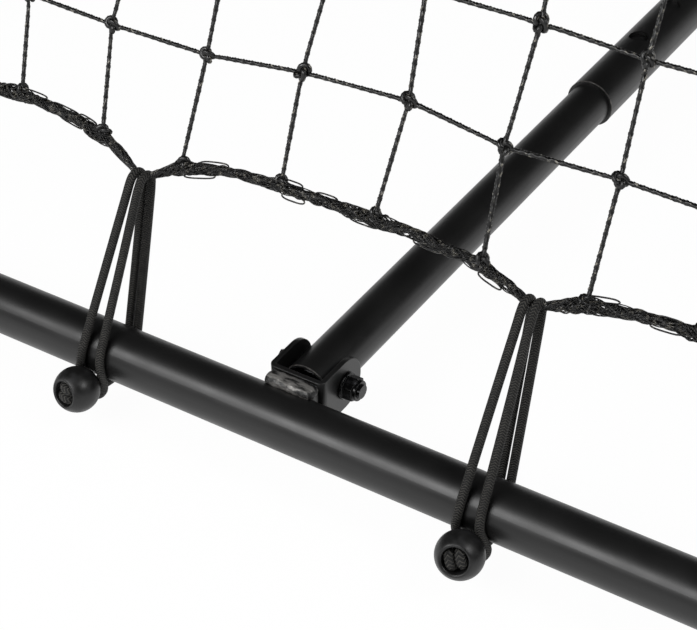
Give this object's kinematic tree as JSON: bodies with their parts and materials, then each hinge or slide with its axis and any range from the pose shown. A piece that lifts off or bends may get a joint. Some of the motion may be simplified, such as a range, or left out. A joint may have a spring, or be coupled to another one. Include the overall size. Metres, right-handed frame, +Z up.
{
  "type": "pitch back rebounder",
  "caption": "Ball rebounder: a square net stretched by ball bungees in a leaning tube frame, held up by a hinged rear frame and a telescoping brace.",
  "frame": {"origin": "centre of the footprint, on the floor", "axes": "+X along the bottom rail, +Y to the rear, away from the player, +Z up"},
  "size_m": [1.2138, 0.859, 1.1019],
  "materials": {
    "frame_tube": "black satin powder coat",
    "bracket": "black satin powder coat over bent plate and weld",
    "corner": "moulded black nylon",
    "foot": "moulded black rubber",
    "fastener": "glossy black zinc",
    "net_twine": "black braided polyethylene twine",
    "border_rope": "black braided polyethylene rope",
    "bungee_cord": "black woven cover over elastic",
    "ball": "matt black moulded plastic",
    "rear_tube": "black satin powder coat",
    "brace_tube": "black satin powder coat",
    "button": "black zinc",
    "spring": "bright spring steel"
  },
  "bodies": {
    "net_frame": {"bottom_rail": "frame_tube", "top_rail": "frame_tube", "side_tube_left": "frame_tube", "side_tube_right": "frame_tube", "rail_bracket": "bracket", "hinge_bracket_left": "bracket", "hinge_bracket_right": "bracket", "corner_bottom_left": "corner", "corner_bottom_right": "corner", "corner_top_left": "corner", "corner_top_right": "corner", "front_foot_left": "foot", "front_foot_right": "foot", "frame_corner_screws": "fastener", "frame_corner_nuts": "fastener", "brace_front_bolt": "fastener", "brace_front_nut": "fastener", "hinge_bolts": "fastener", "hinge_nuts": "fastener", "net_mesh": "net_twine", "net_border_rope": "border_rope", "bungee_cords_bottom": "bungee_cord", "bungee_cords_right": "bungee_cord", "bungee_cords_top": "bungee_cord", "bungee_cords_left": "bungee_cord", "bungee_knots": "bungee_cord", "bungee_balls_bottom": "ball", "bungee_balls_right": "ball", "bungee_balls_top": "ball", "bungee_balls_left": "ball"},
    "rear_frame": {"rear_leg_left": "rear_tube", "rear_leg_right": "rear_tube", "rear_crossbar": "rear_tube", "rear_corner_left": "corner", "rear_corner_right": "corner", "rear_foot_left": "foot", "rear_foot_right": "foot", "rear_bracket": "bracket", "rear_corner_screws": "fastener", "rear_corner_nuts": "fastener", "brace_rear_bolt": "fastener", "brace_rear_nut": "fastener"},
    "brace_inner": {"brace_inner_tube": "brace_tube", "snap_spring": "spring"},
    "brace_outer": {"brace_outer_tube": "brace_tube"},
    "snap_button": {"snap_button": "button"}
  },
  "joints": [
    {"name": "rear_frame_hinge", "type": "hinge", "parent": "net_frame", "child": "rear_frame", "pos_m": [0, -0.02018, 0.70042], "axis": [1, 0, 0], "range_deg": [-12.63, 0]},
    {"name": "brace_front_pivot", "type": "hinge", "parent": "net_frame", "child": "brace_inner", "pos_m": [0, -0.3495, 0.038], "axis": [1, 0, 0], "range_deg": [-6.8, 0.02]},
    {"name": "brace_slide", "type": "slide", "parent": "brace_inner", "child": "brace_outer", "axis": [0, 1, 0], "range_m": [-0.1501, 0.0001]},
    {"name": "snap_button_release", "type": "slide", "parent": "brace_inner", "child": "snap_button", "axis": [0, 0, 1], "range_m": [0, 0.0039], "stiffness_N_per_m": 1500, "springref_m": 0.006, "deforming": ["snap_spring"]}
  ],
  "couplings": [
    {"joint": "brace_front_pivot", "follows": "rear_frame_hinge", "ratio": 0.53753},
    {"joint": "brace_slide", "follows": "rear_frame_hinge", "m_per_rad": 0.68027}
  ]
}
